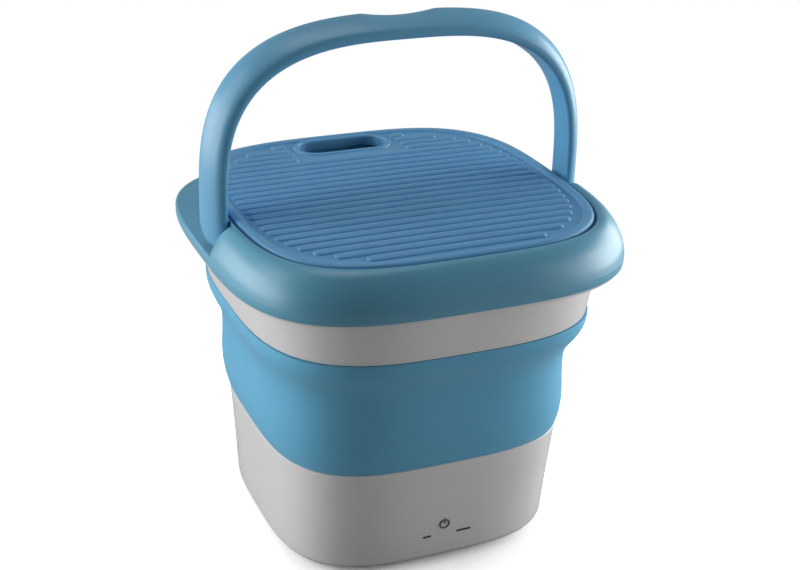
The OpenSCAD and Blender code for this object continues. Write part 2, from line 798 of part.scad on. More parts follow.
base_shell();
bottom_plate();
rubber_feet();
bottom_screws();
tub_floor();
power_mark();
indicator_marks();
control_board();
touch_sensor();
indicator_leds();
uv_lens();
uv_board();
dc_jack();
wire_harness();
gearbox_plate();
gearbox_screws();
motor_can();
motor_screws();
lower_bush();
upper_bush();
shaft_seal();
drain_pipe();
drain_gasket();
drain_plug();
motor_shaft();
motor_pinion();
drive_gear();
pulsator_shaft();
pulsator();
pulsator_cap();
folding_wall();
collar_ring();
rim_frame();
rim_screws();
hinge_pins();
handle();
lid();
lid_gasket();
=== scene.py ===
"""Looks of the portable mini washer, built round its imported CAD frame."""
import math
import bpy
import bmesh
from mathutils import Matrix, Vector


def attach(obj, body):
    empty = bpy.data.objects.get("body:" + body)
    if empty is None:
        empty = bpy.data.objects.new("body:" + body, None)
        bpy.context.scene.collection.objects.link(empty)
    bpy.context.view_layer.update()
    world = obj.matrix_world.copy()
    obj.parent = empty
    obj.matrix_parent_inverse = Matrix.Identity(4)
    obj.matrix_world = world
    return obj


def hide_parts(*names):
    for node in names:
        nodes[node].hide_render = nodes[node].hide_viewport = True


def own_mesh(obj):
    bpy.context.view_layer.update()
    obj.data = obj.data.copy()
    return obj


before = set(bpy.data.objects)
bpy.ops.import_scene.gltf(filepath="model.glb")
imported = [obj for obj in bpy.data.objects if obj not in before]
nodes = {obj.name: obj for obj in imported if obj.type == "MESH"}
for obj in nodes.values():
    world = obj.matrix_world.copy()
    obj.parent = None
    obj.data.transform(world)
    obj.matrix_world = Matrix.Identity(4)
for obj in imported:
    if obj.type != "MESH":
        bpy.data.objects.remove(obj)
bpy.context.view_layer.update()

MM = 0.001
ROUND = 288          # points round each rounded square

# ---------------------------------------------------------------- heights and sizes, in mm
FLOOR_GAP = 3.0      # bottom of the base shell
SEAM = 86.0          # joint of the base shell and the soft wall
COLLAR = 179.0       # bottom of the white collar
LEDGE = 226.0        # top of the rear ledge
SEAT = 240.0         # seat of the lid
HINGE = 228.6        # axis of the handle
RIM_DEEPER = 2.0     # how much deeper than wide the rim is, at each side

# ---------------------------------------------------------------- studio settings, in m and W
AIM = (0, 0, 0.16)
# name, at, aim, width, height, power
LIGHTS = (
    ("left_low", (-1.48, 0.26, 0.30), AIM, 1.1, 1.0, 14.5),
    ("left_back", (-1.15, 0.96, 0.25), AIM, 0.7, 0.7, 4.5),
    ("left_high", (-1.20, 0.32, 1.10), AIM, 0.7, 0.7, 2.8),
    ("right_low", (1.50, 0.0, 0.30), AIM, 1.6, 1.1, 25),
    ("right_front", (1.34, -0.62, 0.28), AIM, 1.3, 1.0, 9.5),
    ("top_panel", (0.0, 0.15, 1.80), AIM, 0.9, 0.9, 4.5))
# Strength of the room's light from the front and from behind
ROOM_FRONT, ROOM_BACK = 0.02, 0.32
# Tone of the floor to the light that it bounces, and to the camera
FLOOR_TONE, FLOOR_SEEN = 0.42, 2.2


# ---------------------------------------------------------------- mesh helpers
def new_object(name, points, faces, body, smooth=True):
    """A mesh object from points in mm, riding on a CAD body."""
    mesh = bpy.data.meshes.new(name)
    mesh.from_pydata([(x * MM, y * MM, z * MM) for x, y, z in points], [], faces)
    bm = bmesh.new()
    bm.from_mesh(mesh)
    bmesh.ops.remove_doubles(bm, verts=bm.verts, dist=1e-7)
    bmesh.ops.recalc_face_normals(bm, faces=bm.faces)
    bm.to_mesh(mesh)
    bm.free()
    mesh.update()
    obj = bpy.data.objects.new(name, mesh)
    bpy.context.scene.collection.objects.link(obj)
    if smooth:
        mesh.shade_smooth()
    if body:
        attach(obj, body)
    return obj


def sharpen(obj, degrees=35):
    """Edges steeper than this stay crisp."""
    obj.data.set_sharp_from_angle(angle=math.radians(degrees))
    return obj


def rounded_square(a, b, n):
    """Outline of a rounded square with half-width a and half-depth b, by direction."""
    out = []
    for i in range(ROUND):
        t = 2 * math.pi * i / ROUND
        c, s = math.cos(t), math.sin(t)
        r = (abs(c) ** n + abs(s) ** n) ** (-1 / n)
        out.append((a * r * c, b * r * s))
    return out


def half_width_at(a, b, n, y):
    """Half-width of a rounded square at depth y."""
    k = 1 - (abs(y) / b) ** n
    return a * k ** (1 / n) if k > 0 else 0.0


def interpolate(table, z):
    """Value at z in rows of (z, value), straight between rows."""
    if z <= table[0][0]:
        return table[0][1]
    for (z0, v0), (z1, v1) in zip(table, table[1:]):
        if z <= z1:
            return v0 + (v1 - v0) * (z - z0) / (z1 - z0)
    return table[-1][1]


def curve_through(points, steps=6, closed=False):
    """A smooth line through the points."""
    out = []
    n = len(points)
    spans = n if closed else n - 1
    for i in range(spans):
        p1, p2 = points[i], points[(i + 1) % n]
        p0 = points[(i - 1) % n] if closed or i > 0 else p1
        p3 = points[(i + 2) % n] if closed or i + 2 < n else p2
        for k in range(steps):
            t = k / steps
            out.append(tuple(
                0.5 * (2 * b + (c - a) * t + (2 * a - 5 * b + 4 * c - d) * t ** 2
                       + (3 * b - a - 3 * c + d) * t ** 3)
                for a, b, c, d in zip(p0, p1, p2, p3)))
    if not closed:
        out.append(tuple(points[-1]))
    return out


def fillet(corners, steps=5, closed=True):
    """A polyline in a plane whose corners (x, z, radius) are rounded."""
    out = []
    n = len(corners)
    for i, (x, z, r) in enumerate(corners):
        p = Vector((x, z))
        if r <= 0 or (not closed and i in (0, n - 1)):
            out.append((x, z))
            continue
        a = Vector(corners[i - 1][:2]) - p
        b = Vector(corners[(i + 1) % n][:2]) - p
        la, lb = a.length, b.length
        a.normalize()
        b.normalize()
        half = math.acos(max(-1, min(1, a.dot(b)))) / 2
        reach = min(r / math.tan(half), la * 0.49, lb * 0.49)
        r = reach * math.tan(half)
        centre = p + (a + b).normalized() * (r / math.sin(half))
        start, end = p + a * reach - centre, p + b * reach - centre
        turn = start.angle_signed(end)
        for k in range(steps + 1):
            v = start.copy()
            v.rotate(Matrix.Rotation(-turn * k / steps, 2))
            out.append(tuple(centre + v))
    return out


def grid_faces(rows, columns, wrap_rows=False, wrap_columns=False):
    """Faces that join a grid of points, row by row."""
    return [(j * columns + i, j * columns + (i + 1) % columns,
             (j + 1) % rows * columns + (i + 1) % columns, (j + 1) % rows * columns + i)
            for j in range(rows if wrap_rows else rows - 1)
            for i in range(columns if wrap_columns else columns - 1)]


def end_faces(rows, columns):
    """The two faces that close the ends of a grid wrapped into a tube."""
    last = (rows - 1) * columns
    return [tuple(range(columns)), tuple(last + i for i in range(columns))]


def ring(name, section, body, n=3.5, deeper=RIM_DEEPER):
    """A closed section of (half-width, height) carried round a rounded square."""
    points = []
    for a, z in section:
        extra = interpolate(deeper, z) if isinstance(deeper, list) else deeper
        power = interpolate(n, z) if isinstance(n, list) else n
        points += [(x, y, z) for x, y in rounded_square(a, a + extra, power)]
    return new_object(name, points, grid_faces(len(section), ROUND, True, True), body)


def as_modified(obj):
    """A new mesh of the object with its modifiers applied."""
    bpy.context.view_layer.update()
    return bpy.data.meshes.new_from_object(obj.evaluated_get(bpy.context.evaluated_depsgraph_get()))


def cut(obj, cutters):
    """Takes each cutter's volume out of obj."""
    for c in cutters:
        m = obj.modifiers.new("cut", "BOOLEAN")
        m.operation = "DIFFERENCE"
        m.solver = "EXACT"
        m.object = c
    made = as_modified(obj)
    obj.modifiers.clear()
    obj.data = made
    for c in cutters:
        bpy.data.objects.remove(c)
    return obj


def block(lo, hi):
    """A cutting box, in mm."""
    (x0, y0, z0), (x1, y1, z1) = lo, hi
    p = [(x, y, z) for x in (x0, x1) for y in (y0, y1) for z in (z0, z1)]
    f = [(0, 1, 3, 2), (4, 6, 7, 5), (0, 4, 5, 1), (2, 3, 7, 6), (0, 2, 6, 4), (1, 5, 7, 3)]
    return new_object("cutter", p, f, None, smooth=False)


# ---------------------------------------------------------------- materials
def moulded(name, colour, roughness, coat=0.0, coat_roughness=0.1, grain=0.02, grain_size=0.6,
            mottle=0.03, waviness=0.0, sheen=0.0, subsurface=0.0):
    """Moulded plastic or rubber: fine grain, faint flow marks, slightly uneven gloss."""
    m = bpy.data.materials.new(name)
    m.use_nodes = True
    nt = m.node_tree
    nt.nodes.clear()
    add = nt.nodes.new
    link = nt.links.new
    out = add("ShaderNodeOutputMaterial")
    bsdf = add("ShaderNodeBsdfPrincipled")
    link(bsdf.outputs[0], out.inputs[0])
    where = add("ShaderNodeTexCoord").outputs["Object"]

    def noise(per_mm, detail=2.0, rough=0.5):
        node = add("ShaderNodeTexNoise")
        node.inputs["Scale"].default_value = 1000 * per_mm
        node.inputs["Detail"].default_value = detail
        node.inputs["Roughness"].default_value = rough
        link(where, node.inputs["Vector"])
        return node.outputs["Fac"]

    tone = add("ShaderNodeValToRGB")
    low = [c * (1 - mottle) for c in colour]
    high = [min(1, c * (1 + mottle)) for c in colour]
    tone.color_ramp.elements[0].position = 0.3
    tone.color_ramp.elements[0].color = (*low, 1)
    tone.color_ramp.elements[1].position = 0.7
    tone.color_ramp.elements[1].color = (*high, 1)
    link(noise(0.022, 3), tone.inputs["Fac"])
    link(tone.outputs["Color"], bsdf.inputs["Base Color"])

    gloss = add("ShaderNodeMapRange")
    gloss.inputs["To Min"].default_value = max(0.02, roughness * 0.86)
    gloss.inputs["To Max"].default_value = roughness * 1.14
    link(noise(0.05, 4), gloss.inputs["Value"])
    link(gloss.outputs["Result"], bsdf.inputs["Roughness"])

    fine = add("ShaderNodeBump")
    fine.inputs["Strength"].default_value = grain
    fine.inputs["Distance"].default_value = 0.0002
    link(noise(1 / grain_size, 3), fine.inputs["Height"])
    if waviness:
        wide = add("ShaderNodeBump")
        wide.inputs["Strength"].default_value = waviness
        wide.inputs["Distance"].default_value = 0.001
        link(noise(0.02, 1), wide.inputs["Height"])
        link(wide.outputs["Normal"], fine.inputs["Normal"])
    link(fine.outputs["Normal"], bsdf.inputs["Normal"])

    bsdf.inputs["Coat Weight"].default_value = coat
    bsdf.inputs["Coat Roughness"].default_value = coat_roughness
    bsdf.inputs["Sheen Weight"].default_value = sheen
    bsdf.inputs["Subsurface Weight"].default_value = subsurface
    bsdf.inputs["Subsurface Scale"].default_value = 0.002
    return m


def metal(name, colour, roughness, streak=8.0, grain=0.05):
    """Turned or drawn metal with fine streaks and a slightly uneven finish."""
    m = moulded(name, colour, roughness, grain=grain, grain_size=0.4, mottle=0.06)
    nt = m.node_tree
    bsdf = next(n for n in nt.nodes if n.type == "BSDF_PRINCIPLED")
    bsdf.inputs["Metallic"].default_value = 1.0
    stretch = nt.nodes.new("ShaderNodeMapping")
    stretch.inputs["Scale"].default_value = (1, 1, streak)
    coord = next(n for n in nt.nodes if n.type == "TEX_COORD")
    nt.links.new(coord.outputs["Object"], stretch.inputs["Vector"])
    for n in nt.nodes:
        if n.type == "TEX_NOISE":
            nt.links.new(stretch.outputs["Vector"], n.inputs["Vector"])
    return m


WHITE = moulded("white_gloss_plastic", (0.86, 0.85, 0.845), 0.30, coat=0.35, coat_roughness=0.12,
                grain=0.03, waviness=0.02, mottle=0.012)
INNER_WHITE = moulded("white_satin_plastic", (0.74, 0.74, 0.73), 0.45, grain=0.08, mottle=0.02)
RIM = moulded("blue_gloss_plastic", (0.135, 0.42, 0.60), 0.36, coat=0.3, coat_roughness=0.32,
              grain=0.04, waviness=0.03, mottle=0.02)
HANDLE = moulded("blue_handle_plastic", (0.15, 0.45, 0.70), 0.38, coat=0.25, coat_roughness=0.2,
                 grain=0.06, waviness=0.02, mottle=0.02)
LID = moulded("blue_satin_plastic", (0.145, 0.43, 0.74), 0.42, coat=0.1, coat_roughness=0.3,
              grain=0.10, mottle=0.03)
SOFT = moulded("sky_blue_soft_rubber", (0.135, 0.49, 0.75), 0.48, grain=0.12, grain_size=0.8,
               waviness=0.05, mottle=0.02, sheen=0.1, subsurface=0.05)
PLUG = moulded("blue_soft_plug", (0.13, 0.34, 0.46), 0.5, grain=0.12)
CAP = moulded("blue_cap_plastic", (0.16, 0.42, 0.58), 0.3, coat=0.3)
GASKET = moulded("grey_gasket_rubber", (0.42, 0.46, 0.48), 0.6, grain=0.15)
BLACK_RUBBER = moulded("black_rubber", (0.018, 0.018, 0.02), 0.65, grain=0.25, grain_size=0.5)
BLACK = moulded("black_plastic", (0.02, 0.02, 0.022), 0.35, grain=0.08)
PRINT = moulded("dark_print", (0.035, 0.035, 0.04), 0.45, grain=0.05)
BOARD = moulded("green_board", (0.01, 0.12, 0.05), 0.4, grain=0.2, grain_size=1.2)
CLEAR = moulded("clear_lamp", (0.75, 0.80, 0.86), 0.12, coat=0.5, grain=0.02)
WIRE = moulded("red_wire_skin", (0.40, 0.02, 0.015), 0.4, grain=0.1)
PULSATOR = moulded("pulsator_plastic", (0.78, 0.78, 0.79), 0.28, coat=0.4, grain=0.03)
NYLON = moulded("nylon_gear", (0.68, 0.62, 0.50), 0.45, grain=0.1)
STEEL = metal("zinc_steel", (0.55, 0.56, 0.57), 0.35)
SHAFT = metal("ground_steel", (0.62, 0.62, 0.63), 0.2)
BRONZE = metal("sintered_bronze", (0.50, 0.33, 0.14), 0.45, streak=1.0, grain=0.2)

for names, material in (
        ("base_shell collar_ring", WHITE), ("bottom_plate tub_floor drain_pipe", INNER_WHITE),
        ("rim_frame", RIM), ("handle", HANDLE), ("lid", LID), ("folding_wall", SOFT),
        ("drain_plug", PLUG), ("pulsator_cap", CAP), ("lid_gasket", GASKET),
        ("rubber_feet shaft_seal drain_gasket", BLACK_RUBBER), ("dc_jack", BLACK),
        ("power_mark indicator_marks", PRINT), ("control_board touch_sensor uv_board", BOARD),
        ("indicator_leds uv_lens", CLEAR), ("wire_harness", WIRE), ("pulsator", PULSATOR),
        ("motor_pinion drive_gear", NYLON),
        ("bottom_screws gearbox_screws motor_screws rim_screws motor_can gearbox_plate", STEEL),
        ("motor_shaft pulsator_shaft hinge_pins", SHAFT), ("lower_bush upper_bush", BRONZE)):
    for node in names.split():
        nodes[node].data.materials.clear()
        nodes[node].data.materials.append(material)


def finish_with(obj, material):
    obj.data.materials.clear()
    obj.data.materials.append(material)
    return obj


# ---------------------------------------------------------------- base
# In each section below: half-width, height and corner radius
section = fillet([
    (91, FLOOR_GAP, 0), (105.4, FLOOR_GAP, 13.0), (107.3, 40, 60), (109.2, 72, 60),
    (110.45, SEAM, 0.7), (107.9, SEAM, 0.5), (107.8, 77, 0), (105.6, 58, 0), (99.6, 14, 4),
    (96.5, 8.4, 3), (86, 8.4, 0), (86, 5.8, 0), (91, 5.8, 0)], steps=8)
base = ring("base_shell_moulding", section, "base_body", n=[(3, 3.45), (40, 3.5), (86, 3.55)],
            deeper=[(3, -1.0), (16, -1.2), (40, -0.15), (72, 1.1), (86, 1.1)])
sharpen(base, 50)
finish_with(base, WHITE)
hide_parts("base_shell")

# ---------------------------------------------------------------- folding wall
# Half-width, half-depth and height of the outside of the wall
wall_rows = [
    (110.5, 111.7, 86.4), (112.2, 113.4, 91), (113.7, 114.9, 99), (114.3, 115.7, 110),
    (113.7, 115.3, 124), (113.4, 115.2, 135), (113.9, 115.8, 144), (115.9, 118.0, 152),
    (119.0, 121.5, 158.5), (121.9, 124.9, 164), (123.8, 127.3, 169), (124.6, 128.3, 174),
    (124.6, 128.4, 178.6)]
outside = curve_through(wall_rows, 6)
WALL_SKIN = 2.4
inside = [(a - WALL_SKIN, b - WALL_SKIN, z) for a, b, z in reversed(outside)]
# The wall leans a little to one side between its two fixed ends: height and shift
sideways = [(86.4, 0.0), (98, -0.6), (115, -1.2), (150, -1.5), (165, -0.6), (178.6, 0.0)]


def soft_ring(name, rows, body, n=3.45):
    """A closed run of (half-width, half-depth, height) rows, each shifted sideways."""
    points = [(x + interpolate(sideways, z), y, z)
              for a, b, z in rows for x, y in rounded_square(a, b, n)]
    return new_object(name, points, grid_faces(len(rows), ROUND, True, True), body)


lower_bead = [(107.9, 109.1, 86.35), (110.1, 111.3, 86.3)]
wall = soft_ring("soft_wall", lower_bead + outside + inside, "base_body")
finish_with(sharpen(wall, 50), SOFT)
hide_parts("folding_wall")
tongue = soft_ring("soft_wall_foot", [
    (107.5, 108.7, 79), (107.5, 108.7, 86.3), (105.4, 106.6, 86.3), (105.4, 106.6, 79)], "base_body")
finish_with(sharpen(tongue, 40), SOFT)
head = soft_ring("soft_wall_head", [
    (122.5, 126.5, 185.7), (122.5, 126.5, 178.8), (120.2, 124.2, 178.8), (120.2, 124.2, 185.7)],
    "rim_body")
finish_with(sharpen(head, 40), SOFT)

# ---------------------------------------------------------------- collar
collar_section = fillet([
    (124.6, COLLAR, 0.8), (129.2, 214.8, 0), (129.6, 221.18, 0.5), (138.4, 221.18, 0.5),
    (138.4, 214.3, 0.6), (142.0, 214.3, 0.9), (142.0, 216.8, 0.5), (140.6, 216.9, 0),
    (140.6, 222.96, 0.3), (127.0, 222.96, 0),
    (127.0, 214.0, 0), (122.8, COLLAR, 0.8)], steps=5)
collar = ring("collar_moulding", collar_section, "rim_body",
              n=[(COLLAR, 3.28), (212, 3.32), (214.2, 3.45)],
              deeper=[(COLLAR, 4.0), (212, 2.6), (214.2, 2.0)])
finish_with(sharpen(collar, 50), WHITE)
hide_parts("collar_ring")

# ---------------------------------------------------------------- rim
rim_ring = ring("rim_seat_ring", fillet([
    (122.9, 214.8, 0.8), (122.9, 233.5, 0), (119.5, 237, 0), (119.5, SEAT, 0.4),
    (125.6, SEAT, 0.6), (125.6, 247.6, 0.75), (127.2, 247.6, 0.75), (127.2, 223, 0),
    (125.5, 223, 0), (125.5, 214.8, 0.8)], steps=4), "rim_body")
finish_with(sharpen(rim_ring, 50), RIM)
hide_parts("rim_frame")

ledge = ring("rim_ledge", fillet([
    (126.9, LEDGE, 0), (143.9, LEDGE, 2.0), (143.8, 219.6, 2), (142.9, 217, 0.8),
    (141.1, 217, 0.5), (141.1, 223.1, 0), (126.9, 223.1, 0)], steps=6), "rim_body")
# A pocket at each side for the handle's hinge ear
POCKET_X, POCKET_HALF_W, POCKET_HALF_D = 129.8, 2.6, 6.4
cut(ledge, [block((side * POCKET_X - POCKET_HALF_W, -POCKET_HALF_D, 220),
                  (side * POCKET_X + POCKET_HALF_W, POCKET_HALF_D, 230)) for side in (-1, 1)])
ledge.data.shade_smooth()
finish_with(sharpen(ledge, 40), RIM)

# Front shoulder: one section carried round the front, drawn in to a rounded end at each side
crest = curve_through([
    (126.2, 247.9), (127.3, 248.6), (129.2, 248.8), (131.7, 247.8), (134.8, 245.2), (138.0, 241.0),
    (140.6, 236.0), (142.6, 231.0), (143.6, 226.0), (143.8, 222.5), (143.6, 219.4)], 6)
shoulder_section = [(125.56, 240.3), (125.56, 247.0)] + crest + [
    (143.5, 217.8), (142.9, 217.0), (141.5, 217.1), (141.1, 218.5), (141.1, 223.2), (125.56, 223.2)]
SHOULDER_END = 20.6      # how far in front of the hinge each end wall stands
SHOULDER_RUN = 165.0     # length from an end to the middle of the front
END_ROUNDING = 12.0      # length of each end that gets closer rows


def shoulder_point(a, z, s, side):
    """One point of the shoulder: s is the way round from the end (0) to the middle (1)."""
    s_dist = s * SHOULDER_RUN
    top_r, side_r = 11.0, 5.0
    drop = 0.0 if s_dist >= top_r else top_r - math.sqrt(top_r ** 2 - (top_r - s_dist) ** 2)
    pull = 0.0 if s_dist >= side_r else side_r - math.sqrt(side_r ** 2 - (side_r - s_dist) ** 2)
    up = max(0.0, min(1.0, (z - 224) / 25.0))
    out = max(0.0, min(1.0, (a - 127.2) / 18.1))
    a2 = a - pull * out * (0.35 + 0.65 * up)
    z2 = z - drop * up ** 0.7
    b = a2 + RIM_DEEPER
    end = SHOULDER_END / b
    t0 = math.atan2(end, (1 - end ** 3.5) ** (1 / 3.5))
    arc = t0 + (math.pi / 2 - t0) * s
    c, sn = math.cos(arc), math.sin(arc)
    r = (abs(c) ** 3.5 + abs(sn) ** 3.5) ** (-1 / 3.5)
    return (side * a2 * r * c, -b * r * sn, z2)


near = [END_ROUNDING / SHOULDER_RUN * (1 - math.cos(math.pi / 2 * k / 12)) for k in range(13)]
far = [near[-1] + (1 - near[-1]) * k / 70 for k in range(1, 71)]
stations = near + far
columns = len(shoulder_section)
points = []
for s in stations:
    points += [shoulder_point(a, z, s, -1) for a, z in shoulder_section]
for s in reversed(stations[:-1]):
    points += [shoulder_point(a, z, s, 1) for a, z in shoulder_section]
rows = 2 * len(stations) - 1
faces = grid_faces(rows, columns, wrap_columns=True) + end_faces(rows, columns)
shoulder = new_object("rim_shoulder", points, faces, "rim_body")
finish_with(sharpen(shoulder, 42), RIM)

# ---------------------------------------------------------------- handle
REACH = 148.6            # from the hinge to the outside of the top bar
# The section of the bail: depth forward, half-width on a leg, height on the top bar
handle_section = [
    (-2.5, 141.2, REACH - 1.6), (-2.2, 141.9, REACH - 0.5), (-1.2, 142.4, REACH),
    (1.5, 142.3, REACH - 0.15), (4, 142.0, REACH - 0.5), (8, 141.0, REACH - 1.8),
    (11.5, 139.7, REACH - 3.2), (14.5, 138.2, REACH - 4.6), (17, 136.6, REACH - 6.0),
    (18.9, 134.8, REACH - 7.4), (19.9, 133.0, REACH - 8.9), (20.2, 131.6, REACH - 10.6),
    (20.1, 130.2, REACH - 12.6), (19.5, 129.0, REACH - 14.2), (18.0, 128.4, REACH - 14.8),
    (13, 128.2, REACH - 15.2), (7, 128.1, REACH - 15.6), (1, 128.0, REACH - 15.9),
    (-1.4, 128.0, REACH - 16.1), (-2.3, 128.3, REACH - 15.8), (-2.5, 129.1, REACH - 15),
    (-2.5, 135.2, REACH - 8.5)]
smooth_section = curve_through(handle_section, 3, closed=True)
ARCH_POWER, ARCH_START, ARCH_STEPS, LEG_ROUND = 3.0, 24.0, 150, 19.5
NOTCH_HALF, NOTCH_DEEP = 27.0, 2.9


def leg_foot(v):
    """How far up a leg starts, at depth v: the foot is rounded at the back."""
    k = LEG_ROUND ** 2 - (17 - v) ** 2
    return 1.0 if v > 17 else LEG_ROUND + 1 - math.sqrt(max(0.0, k))


def from_hinge(x, v, u):
    """A point given by its depth in front of the hinge and its height above it."""
    return (x, -v, HINGE + u)


def arch_rows():
    """Stations along the handle: up the left leg, over the arch, down the right leg."""
    leg = [0.0, 0.01, 0.035, 0.08, 0.14, 0.22, 0.34, 0.5, 0.7]
    stations = [("leg", -1, k) for k in leg]
    stations += [("arch", 0, math.pi * k / ARCH_STEPS) for k in range(ARCH_STEPS + 1)]
    stations += [("leg", 1, k) for k in reversed(leg)]
    return stations


points = []
LEG_CENTRE = 135.2
EDGE_ROUND = 2.2         # rounding of the edge round a leg's foot
for kind, side, k in arch_rows():
    for v, a, u in smooth_section:
        if kind == "leg":
            foot = leg_foot(v)
            height = foot + (ARCH_START - foot) * k
            up = height - foot
            tuck = 0.0
            if up < EDGE_ROUND:
                tuck = EDGE_ROUND - math.sqrt(EDGE_ROUND ** 2 - (EDGE_ROUND - up) ** 2)
            span = max(-1.0, min(1.0, (a - LEG_CENTRE) / 8.0))
            points.append(from_hinge(side * (a - tuck * span), v, height))
        else:
            c, s = math.cos(k), math.sin(k)
            r = (abs(c) ** ARCH_POWER + abs(s) ** ARCH_POWER) ** (-1 / ARCH_POWER)
            x = -a * r * c
            height = ARCH_START + (u - ARCH_START) * r * s
            if s > 0.8 and u > REACH - 9 and abs(x) < NOTCH_HALF:
                share = max(0.0, min(1.0, (13 - v) / 13))
                height -= NOTCH_DEEP * share * (1 - (x / NOTCH_HALF) ** 2)
            points.append(from_hinge(x, v, height))
columns = len(smooth_section)
rows = len(arch_rows())
faces = grid_faces(rows, columns, wrap_columns=True) + end_faces(rows, columns)
handle = new_object("carry_handle", points, faces, "handle_body")
sharpen(handle, 45)


def ear(side):
    """Hinge ear on the inside of a leg."""
    outline = [(5.0 * math.cos(t), 5.0 * math.sin(t)) for t in
               [math.radians(12 - k * 12) for k in range(18)]]
    outline += [(-18, 4), (-18, 22), (-2, 14)]
    x0, x1 = side * 127.8, side * 131.8
    points, n = [], len(outline)
    for x in (x0, x1):
        for y, u in outline:
            points.append((x, y, HINGE + u))
    faces = [tuple(range(n)), tuple(range(n, 2 * n))]
    faces += [(i, (i + 1) % n, n + (i + 1) % n, n + i) for i in range(n)]
    made = new_object("handle_ear_" + ("right" if side > 0 else "left"), points, faces,
                      "handle_body", smooth=False)
    bevel = made.modifiers.new("soft edge", "BEVEL")
    bevel.width, bevel.segments = 0.5 * MM, 3
    return finish_with(made, HANDLE)


for side in (-1, 1):
    ear(side)
finish_with(handle, HANDLE)
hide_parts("handle")

# ---------------------------------------------------------------- lid
SLOT_Y, SLOT_HALF, SLOT_R = 103.0, 21.5, 13.5   # finger slot: place, half-run and end radius
DECK = 247.3             # top of the lid's deck, under the ribs
DECK_HALF = 112.0        # half-width of the deck


def crown(x, y):
    """Height of the lid's deck, which is slightly domed."""
    return DECK + 1.0 * max(0.0, (1 - (x / 120) ** 2)) * max(0.0, (1 - (y / 122) ** 2))


edge_section = fillet([
    (117.6, SEAT + 0.3, 0), (124.0, SEAT + 0.3, 0.8), (124.0, 249.6, 2.6), (118.4, 249.5, 2.4),
    (117.2, DECK, 1.2), (DECK_HALF, DECK, 0)], steps=7, closed=False)
rings = []
for a, z in edge_section:
    rings.append([(x, y, z) for x, y in rounded_square(a, a + RIM_DEEPER, 3.5)])
for k in range(1, 40):
    f = 1 - k / 40
    a = DECK_HALF * f
    b = (DECK_HALF + RIM_DEEPER) * f
    row = [(x, y) for x, y in rounded_square(a, b, 3.5 - 1.5 * (1 - f))]
    ease = min(1.0, k / 4)
    rings.append([(x, y, DECK + (crown(x, y) - DECK) * ease) for x, y in row])
points = [p for r in rings for p in r]
faces = grid_faces(len(rings), ROUND, wrap_columns=True)
faces.append(tuple((len(rings) - 1) * ROUND + i for i in range(ROUND)))
lid_top = new_object("lid_top", points, faces, None)
solid = lid_top.modifiers.new("thickness", "SOLIDIFY")
solid.thickness = 3.0 * MM
solid.offset = -1
thick = as_modified(lid_top)
lid_top.modifiers.clear()
lid_top.data = thick


def stadium(grow, count=24):
    """Outline of the finger slot."""
    r = SLOT_R + grow
    out = []
    for k in range(count + 1):
        t = -math.pi / 2 + math.pi * k / count
        out.append((SLOT_HALF + r * math.cos(t), SLOT_Y + r * math.sin(t)))
    for k in range(count + 1):
        t = math.pi / 2 + math.pi * k / count
        out.append((-SLOT_HALF + r * math.cos(t), SLOT_Y + r * math.sin(t)))
    return out


def stadium_block(grow, z0, z1):
    o = stadium(grow)
    n = len(o)
    p = [(x, y, z0) for x, y in o] + [(x, y, z1) for x, y in o]
    f = [tuple(range(n)), tuple(range(n, 2 * n))]
    f += [(i, (i + 1) % n, n + (i + 1) % n, n + i) for i in range(n)]
    return new_object("cutter", p, f, None, smooth=False)


cut(lid_top, [stadium_block(1.2, 200, 300)])
lid_top.data.shade_smooth()
sharpen(lid_top, 38)
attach(lid_top, "lid_body")
finish_with(lid_top, LID)
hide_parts("lid")

# Rounded rim round the finger slot, going down into a sleeve
profile = fillet([(0, 240.6, 0.4), (0, 249.0, 1.4), (3.2, 249.0, 1.6), (4.2, 247.4, 0.6),
                  (2.4, 244.5, 0), (2.4, 240.6, 0.4)], steps=6)
loops = [[(x, y, z) for x, y in stadium(g)] for g, z in profile]
count = len(loops[0])
points = [p for loop in loops for p in loop]
slot_rim = new_object("lid_slot_rim", points, grid_faces(len(loops), count, True, True), "lid_body")
finish_with(sharpen(slot_rim, 50), LID)

# Washboard ribs
RIB_PITCH, RIB_W, RIB_H = 10.0, 8.2, 2.3
RIB_SHIFT = 1.6          # the middle rib stands this far behind the lid's centre
rib_points, rib_faces = [], []


def rib(x0, x1, y):
    """One rib: a low rounded bar with a rounded nose at each end."""
    across, nose = 12, 7
    length = x1 - x0
    if length < 8:
        return
    stations = []
    reach = RIB_W * 0.5
    for k in range(nose + 1):
        t = math.pi / 2 * k / nose
        stations.append((x0 + reach * (1 - math.cos(t)), max(0.02, math.sin(t))))
    middle = max(6, int(length / 8))
    for k in range(1, middle):
        stations.append((x0 + reach + (length - 2 * reach) * k / middle, 1.0))
    for k in range(nose, -1, -1):
        t = math.pi / 2 * k / nose
        stations.append((x1 - reach * (1 - math.cos(t)), max(0.02, math.sin(t))))
    start = len(rib_points)
    for x, f in stations:
        for k in range(across + 1):
            u = math.pi * k / across
            w = 0.5 * RIB_W * f * math.cos(u)
            h = RIB_H * math.sin(u) ** 0.85 * f ** 0.8
            rib_points.append((x, y - w, crown(x, y - w) - 0.35 + h))
    for f in grid_faces(len(stations), across + 1):
        rib_faces.append(tuple(start + i for i in f))


for k in range(-12, 12):
    y = RIB_SHIFT + k * RIB_PITCH
    if abs(y) > 116:
        continue
    reach = half_width_at(114.5, 116.5, 2.9, y)
    hole = SLOT_HALF + SLOT_R + 8 if y > SLOT_Y - SLOT_R - 9 else 0
    if hole:
        rib(hole, reach, y)
        rib(-reach, -hole, y)
    else:
        rib(-reach, reach, y)
ribs = new_object("lid_ribs", rib_points, rib_faces, "lid_body")
finish_with(ribs, LID)

